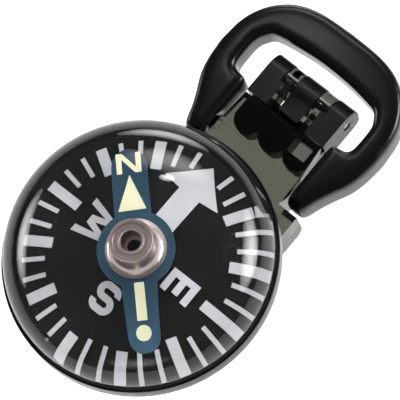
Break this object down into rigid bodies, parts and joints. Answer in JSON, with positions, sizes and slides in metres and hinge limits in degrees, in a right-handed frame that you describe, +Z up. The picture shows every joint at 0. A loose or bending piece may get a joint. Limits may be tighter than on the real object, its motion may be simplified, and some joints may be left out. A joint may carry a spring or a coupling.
{
  "type": "clip-on dome compass",
  "caption": "Pocket compass with a clear domed lens and blued needle, on a smoky carrier with a hinged strap ring and a fold-down clip lever.",
  "frame": {"origin": "on the compass axis, level with the flat underside of the carrier", "axes": "+Z up through the dome, +Y from the dial centre along the dial arrow to the strap ring, +X towards the dial's E"},
  "size_m": [0.0464, 0.0757, 0.0291],
  "materials": {
    "case_black": "gloss",
    "lens_clear": "polished",
    "gasket_black": "matte",
    "dial_black": "matte",
    "print_silver": "satin",
    "steel": "satin",
    "brass": "satin",
    "diaphragm_rubber": "matte",
    "blued_steel": "satin",
    "luminous_paint": "matte",
    "hub_nickel": "polished",
    "jewel_dark": "polished",
    "carrier_smoke": "gloss",
    "ring_black": "gloss"
  },
  "bodies": {
    "base": {"carrier": "carrier_smoke", "case_cup": "case_black", "case_screws": "steel", "lens_dome": "lens_clear", "lens_gasket": "gasket_black", "dial_plate": "dial_black", "dial_ticks": "print_silver", "dial_arrow": "print_silver", "dial_letters": "print_silver", "diaphragm": "diaphragm_rubber", "filler_plug": "brass", "pivot_boss": "brass", "pivot_pin": "steel"},
    "pointer": {"needle": "blued_steel", "needle_paint_north": "luminous_paint", "needle_paint_south": "luminous_paint", "hub_body": "hub_nickel", "hub_eyelet": "hub_nickel", "hub_jewel": "jewel_dark"},
    "ring": {"strap_ring": "ring_black"},
    "lever": {"clip_lever": "ring_black", "lever_pin": "steel"}
  },
  "joints": [
    {"name": "needle_spin", "type": "hinge", "parent": "base", "child": "pointer", "pos_m": [0, 0, 0.0199], "axis": [0, 0, 1], "continuous": true},
    {"name": "ring_swing", "type": "hinge", "parent": "base", "child": "ring", "pos_m": [0, 0.0268, 0.0055], "axis": [1, 0, 0], "range_deg": [-90, 90]},
    {"name": "lever_open", "type": "hinge", "parent": "base", "child": "lever", "pos_m": [0, 0.03995, 0.0042], "axis": [1, 0, 0], "range_deg": [0, 55]}
  ]
}
